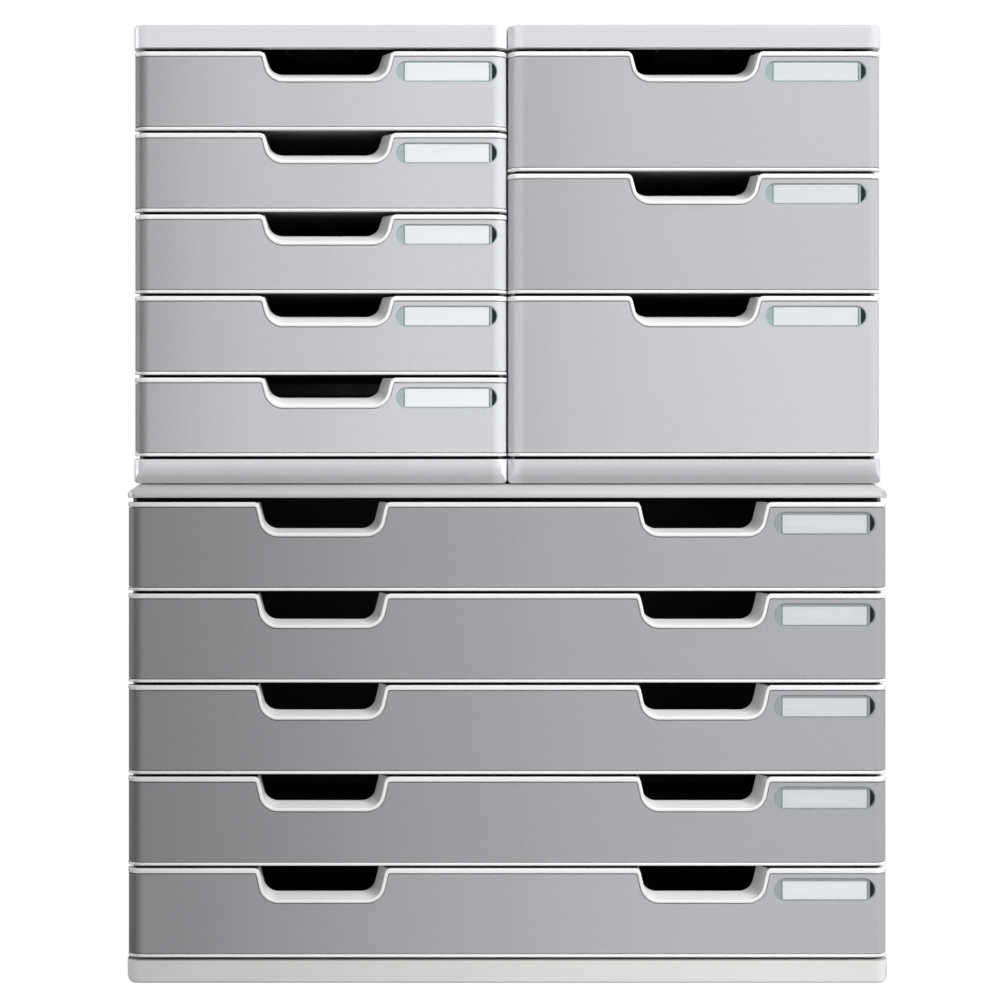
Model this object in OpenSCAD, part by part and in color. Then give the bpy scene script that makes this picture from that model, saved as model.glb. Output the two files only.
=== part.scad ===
// Desktop drawer stack: two narrow drawer units side by side on one double-width chest.
// Millimetres, +Z up, drawers open towards -Y, +X to the right of someone facing the drawers.
// The origin lies on the floor, under the middle of the stack.

/* [Stack] */
// Depth of every unit, front to back
depth = 350; // [330:1:400]
// Width of the chest
chest_w = 562.8; // [500:0.2:620]
// Set-in of the pair of upper units from each end of the chest
pair_inset = 4.8; // [2:0.2:12]
// Gap between the two upper units
unit_gap = 0.2; // [0.2:0.1:4]
// Radius of the upright corners of covers and bases, seen from above
case_corner_r = 10; // [9.8:0.1:11]

/* [Upper units] */
// Height of one drawer step, from one drawer to the next
upper_pitch = 60.2; // [54:0.2:80]
// Height of the cover
upper_cover_h = 16.8; // [12:0.2:24]
// Gap between the cover and the top drawer
upper_top_gap = 2.6; // [1.6:0.1:5]
// Height of the base
upper_base_h = 17.9; // [14:0.1:24]
// Rounding of the cover's top edge
upper_cover_r = 2.4; // [1:0.2:3.2]
// Rounding of the base's bottom edge along its sides
upper_base_r = 3.6; // [1:0.2:4]
// Height of the upright part of the base's front and back, above the slant
upper_base_upright = 8; // [6:0.2:10]
// How far the front and back of the base slant in underneath
upper_base_slant = 7.6; // [2:0.2:8]
// Rounding between the upright part and the slant
upper_base_knee_r = 8; // [2:0.5:9]

/* [Chest] */
// Height of one chest drawer step
chest_pitch = 67.6; // [60:0.2:90]
// Height of the cover
chest_cover_h = 10.2; // [9.8:0.1:18]
// Gap between the cover and the top drawer
chest_top_gap = 3.3; // [1.6:0.1:5]
// Height of the base
chest_base_h = 16.6; // [12:0.1:24]
// Height of the upright part of the cover's edge, below the slant
chest_cover_upright = 3.4; // [3.2:0.1:6]
// How far the cover's edge slants in towards its top
chest_cover_slant = 9.4; // [2:0.2:9.6]
// Rounding between the upright part and the slant
chest_cover_knee_r = 6; // [2:0.5:6]
// Rounding of the base's bottom edge along its sides
chest_base_r = 6.5; // [2:0.5:8]
// Rounding of the base's bottom edge along its front and back
chest_base_front_r = 2; // [1:0.2:8]

/* [Case walls] */
// Set-in of the side and back panels from the edge of the covers
panel_inset = 3.4; // [3:0.1:3.8]
// Thickness of the side and back panels
panel_t = 2.4; // [1.8:0.1:3]
// How far the panels plug into cover and base
tongue = 4; // [3:0.5:4.5]
// Thickness of the skin of covers and bases
skin_t = 2.6; // [2:0.1:3.4]
// Thickness of the stiffening ribs under covers and bases
rib_t = 2; // [1.4:0.1:3]
// Widest cell between the stiffening ribs
cell_max = 58; // [40:1:62]
// Play between a panel and its groove
panel_play = 0.1; // [0.05:0.05:0.2]

/* [Drawer front] */
// Gap between two drawer fronts
drawer_gap = 2.2; // [1.6:0.1:4]
// Set-in of a drawer front from the side of the cover
face_inset = 0.2; // [0.2:0.1:1.8]
// Set-back of the drawer fronts behind the front edge of the cover
face_setback = 1; // [0:0.1:3]
// Radius of the front's upright corners, seen from above
face_corner_r = 10.5; // [6:0.5:10.5]
// How far the front returns backwards along the sides
return_d = 12; // [11:0.5:16]
// Gap between the front's returns and the side panels
return_gap = 1; // [0.6:0.1:3]
// Thickness of the white front frame
frame_t = 4.6; // [4:0.1:5.5]
// Depth of the pocket that holds the grey fascia
fascia_t = 2.2; // [1.6:0.1:2.4]
// How far the frame's bead stands proud of the fascia
bead_proud = 0.4; // [0.2:0.1:0.6]
// Height of the white strip above the fascia
top_strip = 3.5; // [2:0.1:4.5]
// Height of the white strip below the fascia
bottom_strip = 2.2; // [1.4:0.1:4]
// Width of the bead round a finger notch
bead_w = 2.6; // [1.8:0.1:3]
// Groove between the frame and the fascia
groove = 0.6; // [0.2:0.1:0.8]

/* [Finger notch] */
// Half width of a notch at the top of the front
notch_half = 47; // [36:0.2:50]
// How much nearer the middle each side of a notch is at its bottom
notch_slant = 5.2; // [2:0.2:9]
// Depth of the notches of the upper units
upper_notch_d = 19.9; // [16:0.1:22]
// Depth of the notches of the chest
chest_notch_d = 22.8; // [16:0.1:25]
// Radius of a notch's bottom corners
notch_corner_r = 11; // [5:0.5:12]
// Radius where a notch meets the top of the front
notch_top_r = 4.4; // [4:0.2:6]
// How far the notch of the left unit sits right of the unit's middle
left_notch_shift = 5.6; // [0:0.2:8]
// How far the notch of the right unit sits right of the unit's middle
right_notch_shift = 0; // [0:0.2:8]
// How far each notch of the chest sits right of the middle of its half
chest_notch_shift = 3.8; // [0:0.2:8]
// How far the lip round a notch reaches back from the front
lip_d = 17; // [12:0.5:22]
// Thickness of the lip
lip_t = 1.8; // [1.2:0.1:2.2]
// How much the lip draws in at its left
lip_draft_left = 0.2; // [0.2:0.1:4]
// How much the lip of the left unit draws in at its right
left_lip_draft = 7; // [0.2:0.1:8]
// How much the lip of the right unit draws in at its right
right_lip_draft = 3.8; // [0.2:0.1:8]
// How much the lips of the chest draw in at their right
chest_lip_draft = 5.3; // [0.2:0.1:8]
// How much the lip of the upper units rises towards the inside
upper_draft_up = 5.5; // [0.5:0.1:6]
// How much the lip of the chest rises towards the inside
chest_draft_up = 3; // [0.5:0.1:5]

/* [Label] */
// Least fascia between the bead of a notch and the label window
label_gap = 1; // [1:0.2:20]
// Height of the label window on the upper units
upper_label_h = 15.4; // [12:0.2:18]
// Height of the label window on the chest
chest_label_h = 16.8; // [12:0.2:20]
// Distance of the window from the right end of the front, left unit
left_label_right = 7.2; // [6:0.1:12]
// Distance of the window from the right end of the front, right unit
right_label_right = 11.6; // [6:0.1:12]
// Distance of the window from the right end of the front, chest
chest_label_right = 9.8; // [6:0.1:12]
// Distance of the window from the top of the front
label_top = 7.1; // [6:0.1:9]
// Bare part of the window at each end of the card
card_end = 6.3; // [4:0.1:12]
// Bare edge of a window below its card, and above it on the upper units
card_edge = 1.1; // [0.8:0.1:2.5]
// Thickness of the card
card_t = 0.3; // [0.2:0.05:0.4]
// Play round the window in the fascia, and round the card in the window
label_play = 0.15; // [0.05:0.05:0.3]
// Film of adhesive behind the fascia, the window and the card
film_t = 0.05; // [0.02:0.01:0.1]

/* [Drawer tray] */
// Thickness of the tray's walls and floor
tray_t = 2; // [1.6:0.1:2.4]
// Height of the tray's underside above the bottom of the front
tray_lift = 1.2; // [0.6:0.1:2.5]
// How far the tray's rim lies below the top of the front
rim_drop = 7; // [6:0.5:10]
// Gap behind the tray
tray_rear_gap = 6; // [3:0.5:12]
// Length of tray that stays in the case when the drawer is pulled out to its stop
hold_in = 75; // [60:1:110]

/* [Runners] */
// Width of the runner ribs on the side panels
runner_w = 6; // [4:0.2:8]
// Thickness of the runner ribs
runner_t = 2.4; // [1.8:0.1:3.5]
// Thickness of the tray's side flanges, which slide on the ribs
flange_t = 2; // [1.6:0.1:2.6]
// Running clearance of the flanges
run_gap = 0.3; // [0.2:0.05:0.5]
// Height of the stop lug at the back of each flange
stop_h = 2.4; // [1.5:0.1:3]
// Length of the stop lug
stop_l = 5; // [3:0.5:8]
// Length of the stop block on the side panel
stop_block_l = 12; // [8:0.5:20]

/* [Feet and pegs] */
// Height of the gap under each base
foot_gap = 0.3; // [0.3:0.1:2]
// Radius of the chest's rubber feet
foot_r = 8; // [5:0.5:10]
// Depth of a foot inside its boss
foot_sink = 3; // [2:0.5:5]
// Radius of the stacking pegs
peg_r = 4; // [3:0.5:5]
// Radius of the pegs' collar, which fills the gap between two units
peg_collar_r = 6.5; // [5.5:0.5:8]
// Length of a peg above and below its collar
peg_l = 6; // [4:0.5:7]
// Distance of feet and pegs from the edges of their unit
peg_inset = 24; // [20:1:34]
// Wall of the bosses round feet and pegs
boss_t = 3; // [2:0.5:4]
// Play of pegs and feet in their bosses
peg_play = 0.15; // [0.1:0.05:0.3]

/* [Hidden] */
$fn = 48;
past = 1;
arc_steps = 9;

LEFT = 0;
RIGHT = 1;
CHEST = 2;
UNITS = [LEFT, RIGHT, CHEST];
unit_name = ["left_unit", "right_unit", "chest"];

// Drawer heights in steps, from the top down
steps = [[1, 1, 1, 1, 1], [1.5, 1.5, 2], [1, 1, 1, 1, 1]];
steps_all = 5;

upper_w = chest_w / 2 - pair_inset - unit_gap / 2;
unit_w = [upper_w, upper_w, chest_w];
unit_x = [-(upper_w + unit_gap) / 2, (upper_w + unit_gap) / 2, 0];
pitch = [upper_pitch, upper_pitch, chest_pitch];
cover_h = [upper_cover_h, upper_cover_h, chest_cover_h];
base_h = [upper_base_h, upper_base_h, chest_base_h];
top_gap = [upper_top_gap, upper_top_gap, chest_top_gap];
draft_up = [upper_draft_up, upper_draft_up, chest_draft_up];
draft_right = [left_lip_draft, right_lip_draft, chest_lip_draft];
notch_d = [upper_notch_d, upper_notch_d, chest_notch_d];
label_h = [upper_label_h, upper_label_h, chest_label_h];
label_right = [left_label_right, right_label_right, chest_label_right];

// A wide drawer has a notch in the middle of each half
notches = [
    [left_notch_shift], [right_notch_shift],
    [chest_notch_shift - chest_w / 4, chest_notch_shift + chest_w / 4]];

function zone_h(u) = steps_all * pitch[u] + top_gap[u];
chest_top = foot_gap + chest_base_h + zone_h(CHEST) + chest_cover_h;
base_z = [chest_top + foot_gap, chest_top + foot_gap, foot_gap];
function base_top(u) = base_z[u] + base_h[u];
function cover_z(u) = base_top(u) + zone_h(u);

function sum_to(list, n) = n <= 0 ? 0 : list[n - 1] + sum_to(list, n - 1);
function front_top(u, i) = cover_z(u) - top_gap[u] - sum_to(steps[u], i) * pitch[u];
function front_h(u, i) = steps[u][i] * pitch[u] - drawer_gap;
function front_bottom(u, i) = front_top(u, i) - front_h(u, i);
function face_w(u) = unit_w[u] - 2 * face_inset;
function last_notch(u) = notches[u][len(notches[u]) - 1];
function label_room(u) = face_w(u) / 2 - last_notch(u) - notch_half - bead_w - label_right[u];
label_w = min([for (u = UNITS) label_room(u)]) - label_gap;
// Every label takes the same card
card_w = label_w - 2 * card_end;
card_h = min(label_h) - 2 * card_edge;

// Planes across the depth
front_y = -depth / 2;
back_y = depth / 2;
face_y = front_y + face_setback;
return_y = face_y + return_d;
panel_front_y = return_y + return_gap;
back_panel_y = back_y - panel_inset - panel_t;
tray_front_y = face_y + frame_t;
tray_back_y = back_panel_y - tray_rear_gap;
travel = tray_back_y - return_y - hold_in;

// Half widths inside a unit
function panel_out(u) = unit_w[u] / 2 - panel_inset;
function panel_in(u) = panel_out(u) - panel_t;
function flange_half(u) = panel_in(u) - run_gap;
function tray_half(u) = panel_in(u) - runner_w - run_gap;
function rim_z(u, i) = front_top(u, i) - rim_drop;
function peg_x(u) = unit_w[u] / 2 - peg_inset;
peg_y = depth / 2 - peg_inset;

// The left side of a notch as a line: its half width at depth d, the notch grown by grow
function slant(u) = notch_slant / notch_d[u];
function notch_side(u, d, grow) = notch_half - slant(u) * d + grow * sqrt(1 + slant(u) * slant(u));

// A corner b of an outline, rounded with its own radius b.z between its neighbours a and c
function to2(p) = [p[0], p[1]];
function unit2(v) = v / norm(v);
function turn(from, to) = (to - from + 540) % 360 - 180;
function rounded(a, b, c) =
    b[2] == 0 ? [to2(b)] :
    let (back = unit2(to2(a) - to2(b)), ahead = unit2(to2(c) - to2(b)))
    let (half = acos(back * ahead) / 2, r = b[2])
    let (centre = to2(b) + unit2(back + ahead) * r / sin(half))
    let (start = to2(b) + back * r / tan(half) - centre, end = to2(b) + ahead * r / tan(half) - centre)
    let (a0 = atan2(start.y, start.x), sweep = turn(a0, atan2(end.y, end.x)))
    [for (k = [0:arc_steps]) centre + r * [cos(a0 + sweep * k / arc_steps), sin(a0 + sweep * k / arc_steps)]];
function outline(corners) =
    [for (k = [0:len(corners) - 1])
        for (p = rounded(corners[(k + len(corners) - 1) % len(corners)], corners[k],
                         corners[(k + 1) % len(corners)])) p];

// Outline of one notch, with depth counted downwards from the top of the front
function notch_corners(u, x, from, grow) = [
    [x - notch_side(u, from, grow), from, notch_top_r - grow],
    [x - notch_side(u, notch_d[u] + grow, grow), notch_d[u] + grow, notch_corner_r + grow],
    [x + notch_side(u, notch_d[u] + grow, grow), notch_d[u] + grow, notch_corner_r + grow],
    [x + notch_side(u, from, grow), from, notch_top_r - grow]];

// Outline of a whole front with its notches, from depth from to depth to
function front_corners(u, from, to, grow) =
    let (half = unit_w[u] / 2)
    concat([[-half, to, 0], [-half, from, 0]],
           [for (x = notches[u]) for (c = notch_corners(u, x, from, grow)) c],
           [[half, from, 0], [half, to, 0]]);

CASE_PIECES = ["cover", "base", "left_side", "right_side", "back"];
DRAWER_PIECES = ["tray", "front", "fascia"];
function drawer_node(u, i, piece) = str(unit_name[u], "_drawer_", i + 1, "_", piece);
function case_node(u, piece) = str(unit_name[u], "_", piece);
function stand_node(u) = case_node(u, u == CHEST ? "feet" : "pegs");

// Extrudes an outline given as [x, depth below z] backwards from plane y
module backwards(y, z, length) {
    translate([0, y, z]) rotate([-90, 0, 0]) linear_extrude(length) children();
}

// Plan of a drawer front: straight face, round corners and a return on each side
module front_plan(w, inset) {
    r = face_corner_r - inset;
    x = w / 2 - face_corner_r;
    translate([-x, face_y + inset]) square([2 * x, r + return_d]);
    translate([-x - r, face_y + face_corner_r]) square([2 * (x + r), return_d]);
    for (side = [-1, 1]) translate([side * x, face_y + face_corner_r]) circle(r);
}

module front_shell(w, outer, inner, reach) {
    intersection() {
        difference() {
            front_plan(w, outer);
            front_plan(w, inner);
        }
        translate([-w, face_y - 2 * past]) square([2 * w, reach + 2 * past]);
    }
}

// The part of a bent front shell that lies inside an outline
module bent_front(u, i, outer, inner, reach, from, to, grow) {
    intersection() {
        translate([0, 0, front_bottom(u, i) - past])
            linear_extrude(front_h(u, i) + 2 * past) front_shell(face_w(u), outer, inner, reach);
        backwards(front_y - past, front_top(u, i), return_d + frame_t)
            polygon(outline(front_corners(u, from, to, grow)));
    }
}

// The lip round one notch narrows backwards, about a fixed point near its top left
module lip_taper(u, x, grow, from) {
    narrow = 1 - (lip_draft_left + draft_right[u]) / (2 * notch_half);
    fixed_x = lip_draft_left / (1 - narrow) - notch_half;
    rise = 1 - draft_up[u] / notch_d[u];
    sharp = [for (c = notch_corners(u, -fixed_x, from, grow)) [c[0], c[1], c[1] > notch_d[u] / 2 ? c[2] : 0]];
    translate([x + fixed_x, 0, 0]) linear_extrude(lip_d - frame_t, scale = [narrow, rise], slices = 1)
        polygon(outline(sharp));
}

module notch_lip(u, i, x) {
    translate([0, tray_front_y, front_top(u, i)]) rotate([-90, 0, 0]) difference() {
        lip_taper(u, x, lip_t, 0);
        translate([0, 0, -past / 10]) scale([1, 1, 1.1]) lip_taper(u, x, 0, -past);
    }
}

module stadium(w, h) {
    square([w - h, h], center = true);
    for (side = [-1, 1]) translate([side * (w - h) / 2, 0]) circle(h / 2);
}

// Places a label's flat shapes: x is to the right, y downwards, from the middle of the window
module at_label(u) {
    translate([face_w(u) / 2 - label_right[u] - label_w / 2, label_top + label_h[u] / 2]) children();
}

// Places the card, which stands at the bottom of the window
module at_card(u) {
    at_label(u) translate([0, label_h[u] / 2 - card_edge - card_h / 2]) children();
}

module front_frame(u, i) {
    color("white") {
        difference() {
            bent_front(u, i, 0, frame_t, return_d, 0, front_h(u, i), 0);
            bent_front(u, i, -past, fascia_t, return_d + past, top_strip, front_h(u, i) - bottom_strip, bead_w);
        }
        for (x = notches[u]) notch_lip(u, i, x);
    }
}

module fascia(u, i) {
    from = top_strip + groove;
    to = front_h(u, i) - bottom_strip - groove;
    color(u == CHEST ? "darkgray" : "silver") translate([unit_x[u], 0, 0]) difference() {
        bent_front(u, i, bead_proud, fascia_t - film_t, return_d - groove, from, to, bead_w + groove);
        backwards(front_y - past, front_top(u, i), frame_t + 2 * past) at_label(u) stadium(label_w, label_h[u]);
    }
}

module label_window(u, i) {
    h = label_h[u] - 2 * label_play;
    color([0.7, 0.84, 0.82, 0.5]) difference() {
        backwards(face_y + bead_proud, front_top(u, i), fascia_t - bead_proud - film_t)
            at_label(u) stadium(label_w - 2 * label_play, h);
        backwards(face_y + fascia_t - card_t - label_play, front_top(u, i), card_t + label_play + past)
            at_card(u) square([card_w + 2 * label_play, card_h + 2 * label_play], center = true);
    }
}

module label_card(u, i) {
    color("ghostwhite") backwards(face_y + fascia_t - film_t - card_t, front_top(u, i), card_t)
        at_card(u) square([card_w, card_h], center = true);
}

module drawer_front(u, i) {
    translate([unit_x[u], 0, 0]) {
        front_frame(u, i);
        label_window(u, i);
        label_card(u, i);
    }
}

module tray(u, i) {
    half = tray_half(u);
    floor_z = front_bottom(u, i) + tray_lift;
    rim = rim_z(u, i);
    flange_y = return_y + return_gap;
    lip_room = lip_t + run_gap;
    color("gray") translate([unit_x[u], 0, 0]) difference() {
        union() {
            translate([-half, tray_front_y, floor_z]) cube([2 * half, tray_back_y - tray_front_y, rim - floor_z]);
            translate([-flange_half(u), flange_y, rim - flange_t])
                cube([2 * flange_half(u), tray_back_y - flange_y, flange_t]);
            for (side = [-1, 1]) scale([side, 1, 1]) translate([half, tray_back_y - stop_l, rim - flange_t / 2])
                cube([flange_half(u) - half, stop_l, flange_t / 2 + stop_h]);
        }
        translate([-half + tray_t, tray_front_y + tray_t, floor_z + tray_t])
            cube([2 * (half - tray_t), tray_back_y - tray_front_y - 2 * tray_t, rim - floor_z]);
        for (x = notches[u]) backwards(tray_front_y - past, front_top(u, i), tray_t + 2 * past)
            polygon(outline([for (c = notch_corners(u, x, 0, lip_room)) [c[0], c[1], max(c[2], 0)]]));
    }
}

module rounded_plan(w, d, r) {
    square([w - 2 * r, d], center = true);
    square([w, d - 2 * r], center = true);
    for (x = [-1, 1]) for (y = [-1, 1]) translate([x * (w / 2 - r), y * (d / 2 - r)]) circle(r);
}

// Section of a slab whose upper edges are rounded
module edge_profile(w, h, r) {
    translate([-w / 2, 0]) square([w, h - r]);
    translate([-w / 2 + r, 0]) square([w - 2 * r, h]);
    for (side = [-1, 1]) translate([side * (w / 2 - r), h - r]) circle(r);
}

// Section of a slab whose sides are upright at first and then slant in towards the top
module knee_profile(w, h, upright, slant, knee_r) {
    polygon(outline([
        [-w / 2, 0, 0], [w / 2, 0, 0], [w / 2, upright, knee_r], [w / 2 - slant, h, 0],
        [-w / 2 + slant, h, 0], [-w / 2, upright, knee_r]]));
}

// A slab with round upright corners and the two sections that its children give, across its width and its depth
module slab(w, d, h) {
    intersection() {
        linear_extrude(h) rounded_plan(w, d, case_corner_r);
        translate([0, d, 0]) rotate([90, 0, 0]) linear_extrude(2 * d) children(0);
        translate([-w, 0, 0]) rotate([90, 0, 90]) linear_extrude(2 * w) children(1);
    }
}

module cover_profile(u, w) {
    if (u == CHEST) knee_profile(w, cover_h[u], chest_cover_upright, chest_cover_slant, chest_cover_knee_r);
    else edge_profile(w, cover_h[u], upper_cover_r);
}

module base_front_profile(u) {
    if (u == CHEST) edge_profile(depth, base_h[u], chest_base_front_r);
    else knee_profile(depth, base_h[u], upper_base_upright, upper_base_slant, upper_base_knee_r);
}

// Cells between stiffening ribs, open downwards from z = 0
module cells(u, height, edge) {
    w = unit_w[u] - 2 * edge;
    d = depth - 2 * edge;
    columns = ceil(w / cell_max);
    rows = ceil(d / cell_max);
    cell_w = (w + rib_t) / columns;
    cell_d = (d + rib_t) / rows;
    for (c = [0:columns - 1]) for (r = [0:rows - 1])
        translate([-w / 2 + c * cell_w, -d / 2 + r * cell_d, -past])
            cube([cell_w - rib_t, cell_d - rib_t, height + past]);
}

// Grooves that the side and back panels plug into, from z = 0 upwards
module panel_grooves(u) {
    out = panel_out(u) + panel_play;
    width = panel_t + 2 * panel_play;
    for (side = [-1, 1]) translate([side * (out - width / 2), 0, 0])
        translate([-width / 2, panel_front_y - panel_play, 0])
            cube([width, back_y - panel_inset + 2 * panel_play - panel_front_y, tongue + panel_play]);
    translate([-out, back_panel_y - panel_play, 0]) cube([2 * out, width, tongue + panel_play]);
}

module at_stand(u) {
    columns = u == CHEST ? [-1, 0, 1] : [-1, 1];
    for (x = columns) for (y = [-1, 1]) translate([x * peg_x(u), y * peg_y, 0]) children();
}

// Where the pegs of the upper units stand, from the middle of the chest
module at_chest_sockets() {
    for (u = [LEFT, RIGHT]) translate([unit_x[u], 0, 0]) at_stand(u) children();
}

// Edge strip outside the stiffening ribs, wide enough for the panel grooves and the shaped edge
function edge_strip(shaped) = max(panel_inset + panel_t + panel_play + rib_t, shaped + skin_t);
function cover_strip(u) = edge_strip(u == CHEST ? chest_cover_slant : upper_cover_r);
function base_strip(u) =
    edge_strip(u == CHEST ? max(chest_base_r, chest_base_front_r) : max(upper_base_r, upper_base_slant));

module cover(u) {
    h = cover_h[u];
    color("gainsboro") translate([unit_x[u], 0, cover_z(u)]) difference() {
        slab(unit_w[u], depth, h) {
            cover_profile(u, unit_w[u]);
            cover_profile(u, depth);
        }
        difference() {
            cells(u, h - skin_t, cover_strip(u));
            if (u == CHEST) at_chest_sockets() translate([0, 0, -2 * past]) cylinder(h = 2 * h, r = peg_r + boss_t);
        }
        translate([0, 0, -past]) panel_grooves_deep(u);
        if (u == CHEST) at_chest_sockets()
            translate([0, 0, h - peg_l - peg_play]) cylinder(h = peg_l + past, r = peg_r + peg_play);
    }
}

module panel_grooves_deep(u) {
    panel_grooves(u);
    translate([0, 0, past]) panel_grooves(u);
}

module base(u) {
    h = base_h[u];
    sink = u == CHEST ? foot_sink : peg_l;
    r = u == CHEST ? foot_r : peg_r;
    color("gainsboro") translate([unit_x[u], 0, base_z[u]]) difference() {
        translate([0, 0, h]) rotate([180, 0, 0]) slab(unit_w[u], depth, h) {
            edge_profile(unit_w[u], h, u == CHEST ? chest_base_r : upper_base_r);
            base_front_profile(u);
        }
        difference() {
            cells(u, h - skin_t, base_strip(u));
            at_stand(u) translate([0, 0, -2 * past]) cylinder(h = 2 * h, r = r + boss_t);
        }
        translate([0, 0, h - tongue - panel_play]) panel_grooves_deep(u);
        at_stand(u) translate([0, 0, -past]) cylinder(h = sink + peg_play + past, r = r + peg_play);
    }
}

module side_panel(u, side) {
    z = base_top(u) - tongue;
    h = zone_h(u) + 2 * tongue;
    stop_y = tray_back_y - stop_l - travel - run_gap;
    color("gainsboro") translate([unit_x[u], 0, 0]) scale([side, 1, 1]) {
        translate([panel_in(u), panel_front_y, z]) cube([panel_t, back_y - panel_inset - panel_front_y, h]);
        for (i = [0:len(steps[u]) - 1]) translate([panel_in(u) - runner_w, 0, rim_z(u, i)]) {
            translate([0, panel_front_y, -flange_t - run_gap - runner_t])
                cube([runner_w + panel_t / 2, back_panel_y - panel_front_y, runner_t]);
            translate([0, stop_y - stop_block_l, run_gap])
                cube([runner_w + panel_t / 2, stop_block_l, stop_h]);
        }
    }
}

module back_panel(u) {
    color("gainsboro") translate([unit_x[u] - panel_in(u), back_panel_y, base_top(u) - tongue])
        cube([2 * panel_in(u), panel_t, zone_h(u) + 2 * tongue]);
}

module feet() {
    color("dimgray") at_stand(CHEST) cylinder(h = foot_gap + foot_sink, r = foot_r);
}

module pegs(u) {
    color("dimgray") translate([unit_x[u], 0, chest_top]) at_stand(u) {
        cylinder(h = foot_gap, r = peg_collar_r);
        translate([0, 0, -peg_l]) cylinder(h = 2 * peg_l + foot_gap, r = peg_r);
    }
}

for (u = UNITS) {
    for (i = [0:len(steps[u]) - 1]) {
        tray(u, i);
        drawer_front(u, i);
        fascia(u, i);
    }
    cover(u);
    base(u);
    side_panel(u, -1);
    side_panel(u, 1);
    back_panel(u);
}
pegs(LEFT);
pegs(RIGHT);
feet();
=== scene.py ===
"""Models and finishes a stack of desktop drawer units on the CAD frame.

Two narrow units stand side by side on a double-width chest. Every drawer has a
white front frame with a bead round its finger notches, a grained grey fascia
and a clear label window with a blank card. Lengths are in metres, +Z is up and
the drawers open towards -Y.
"""

import math

import bpy
from bpy.props import FloatProperty, FloatVectorProperty, IntProperty, PointerProperty
from bpy.types import NodeSocket, Operator, Panel, PropertyGroup
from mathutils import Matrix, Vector


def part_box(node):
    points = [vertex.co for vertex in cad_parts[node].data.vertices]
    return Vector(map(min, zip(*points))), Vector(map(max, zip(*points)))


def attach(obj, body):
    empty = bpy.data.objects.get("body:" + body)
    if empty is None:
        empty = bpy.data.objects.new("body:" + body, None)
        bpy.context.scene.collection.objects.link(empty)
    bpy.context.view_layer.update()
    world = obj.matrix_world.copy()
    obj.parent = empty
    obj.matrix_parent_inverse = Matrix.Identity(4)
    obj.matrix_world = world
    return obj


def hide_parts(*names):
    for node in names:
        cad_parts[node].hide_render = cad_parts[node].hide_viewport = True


bl_info = {
    "name": "Desktop Drawer Stack",
    "version": (1, 0, 0),
    "blender": (4, 5, 0),
    "location": "View3D > Sidebar > Drawers",
    "description": "Models and finishes a stack of moulded desktop drawer units",
    "category": "Object",
}

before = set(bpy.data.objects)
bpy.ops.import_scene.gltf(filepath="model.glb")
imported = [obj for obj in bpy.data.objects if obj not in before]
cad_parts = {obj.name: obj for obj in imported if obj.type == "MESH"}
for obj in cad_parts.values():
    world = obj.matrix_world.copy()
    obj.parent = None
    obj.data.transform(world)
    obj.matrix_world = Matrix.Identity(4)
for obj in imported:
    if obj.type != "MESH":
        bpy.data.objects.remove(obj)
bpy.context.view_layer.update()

# How many drawers each unit has
DRAWERS = {"left_unit": 5, "right_unit": 3, "chest": 5}
# Tolerance for the place of faces and edges, and distance within which points are merged
SLIVER, MERGED = 1e-5, 1e-6
# A face or edge lies along an axis if its direction has more than this share along it
ALONG = 0.9
# How far a cutter reaches past what it cuts through, and past a face that it only opens
PAST, OPENED = 0.01, 0.001
# Depths of the label's layers behind the front's own face
WINDOW_BACK, CARD_FRONT, SLOT_FLOOR, CARD_BACK = 0.00125, 0.00135, 0.00145, 0.00165
HOLDER_FRONT = 0.0017
# Facets in an upright corner or the round end of a label, and in the rounding along an edge
CORNER_STEPS, EDGE_STEPS = 12, 16
SHAPED_EDGE = "Upright part, how far the edge slants in past it, and the rounding between the two"
# Painted shade across each unit, as (place from left to right, tone)
FILM_PAINTED_SHADE = {
    "left_unit": ((0, 0.6), (0.15, 0.73), (0.3, 0.83), (0.5, 0.89), (0.75, 0.98), (1, 1)),
    "right_unit": ((0, 0.72), (0.15, 0.78), (0.3, 0.84), (0.5, 0.87), (0.75, 0.91), (1, 0.92)),
    "chest": ((0, 0.47), (0.15, 0.57), (0.3, 0.7), (0.5, 0.84), (0.7, 0.95), (1, 1)),
}
FRAME_PAINTED_SHADE = {
    "left_unit": ((0, 0.95), (0.3, 0.98), (1, 1)),
    "right_unit": ((0, 1), (1, 1)),
    "chest": ((0, 0.66), (0.05, 0.73), (0.12, 0.81), (0.38, 0.92), (0.55, 0.96), (1, 1)),
}
CASE_PAINTED_SHADE = {
    "left_unit": ((0, 0.97), (1, 1)),
    "right_unit": ((0, 1), (1, 1)),
    "chest": ((0, 0.66), (0.1, 0.73), (0.25, 0.79), (0.5, 0.9), (0.75, 0.98), (1, 1)),
}
# Painted shade and painted light on the film, and on the frame, where they are bent round the
# left and the right end of a front
FILM_BEND_PAINTED_LIGHT = {"left_unit": (0.34, 1.15), "right_unit": (1.5, 0.95), "chest": (0.3, 0.9)}
FRAME_BEND_PAINTED_LIGHT = {"left_unit": (0.72, 1), "right_unit": (1.2, 1), "chest": (0.85, 1)}
# Painted light on a unit's cover, and on its base: lighter and darker copies of one plastic
CASE_PART_PAINTED_LIGHT = {"left_unit": (1.02, 0.97), "right_unit": (0.96, 0.92), "chest": (0.66, 1)}
# Painted highlight on a unit's cover and base where they are bent round its left and its right end
CASE_BEND_PAINTED_LIGHT = {"left_unit": (1, 1.3), "right_unit": (1.3, 1.07), "chest": (1, 1)}
# Painted light on the films of a unit's lowest drawer, and of its other drawers
FILM_DRAWER_PAINTED_LIGHT = {"left_unit": (1.01, 0.95), "right_unit": (1.03, 0.905), "chest": (1.15, 0.99)}
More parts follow.
